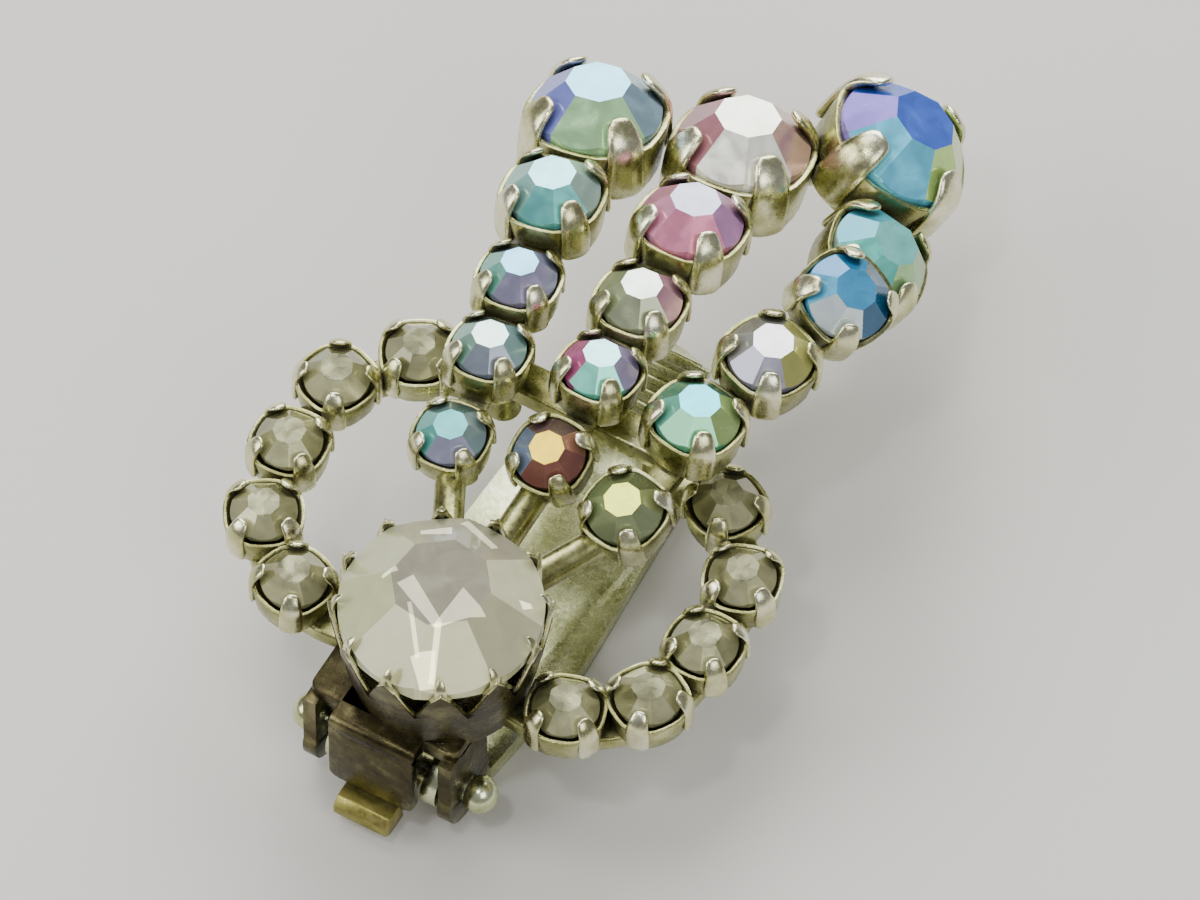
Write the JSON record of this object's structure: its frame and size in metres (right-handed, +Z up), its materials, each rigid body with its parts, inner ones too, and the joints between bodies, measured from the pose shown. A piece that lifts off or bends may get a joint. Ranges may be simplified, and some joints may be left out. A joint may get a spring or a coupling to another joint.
{
  "type": "clip on earring",
  "caption": "Clip-on earring: a large clear stone in a crown setting, side loops of small stones and fanned strands of graded aurora-coated stones on a hinged clip.",
  "frame": {"origin": "middle of the closed paddle's flat underside, on the surface the earring rests on", "axes": "+Y along the strands, away from the hinge; +Z up out of the stones' faces; +X to the right seen from the front with the strands pointing up"},
  "size_m": [0.0232, 0.0393, 0.0136],
  "materials": {
    "aged_plate": "silver-toned plate dulled olive with age, bright where rubbed",
    "clip_metal": "plain silver-toned plate, lightly dulled",
    "leaf_brass": "bare spring brass, browned",
    "clear_glass": "clear cut glass, slightly milky, foiled back",
    "aurora_glass": "cut glass with an iridescent metallic coat",
    "dull_glass": "small clear cut glass over a dulled foil"
  },
  "bodies": {
    "paddle": {"clip_paddle": "clip_metal"},
    "setting": {"setting_frame": "aged_plate", "hinge_pin": "clip_metal", "clip_spring": "leaf_brass", "main_stone": "clear_glass", "left_strand_stone_1": "aurora_glass", "left_strand_stone_2": "aurora_glass", "left_strand_stone_3": "aurora_glass", "left_strand_stone_4": "aurora_glass", "left_strand_stone_5": "aurora_glass", "middle_strand_stone_1": "aurora_glass", "middle_strand_stone_2": "aurora_glass", "middle_strand_stone_3": "aurora_glass", "middle_strand_stone_4": "aurora_glass", "middle_strand_stone_5": "aurora_glass", "right_strand_stone_1": "aurora_glass", "right_strand_stone_2": "aurora_glass", "right_strand_stone_3": "aurora_glass", "right_strand_stone_4": "aurora_glass", "right_strand_stone_5": "aurora_glass", "right_strand_stone_6": "aurora_glass", "left_loop_stone_1": "dull_glass", "left_loop_stone_2": "dull_glass", "left_loop_stone_3": "dull_glass", "left_loop_stone_4": "dull_glass", "left_loop_stone_5": "dull_glass", "right_loop_stone_1": "dull_glass", "right_loop_stone_2": "dull_glass", "right_loop_stone_3": "dull_glass", "right_loop_stone_4": "dull_glass", "right_loop_stone_5": "dull_glass"}
  },
  "joints": [
    {"name": "clip_hinge", "type": "hinge", "parent": "paddle", "child": "setting", "pos_m": [0, -0.0115, 0.0024], "axis": [1, 0, 0], "range_deg": [0, 75], "stiffness_Nm_per_rad": 0.001, "springref_deg": -22.92}
  ]
}
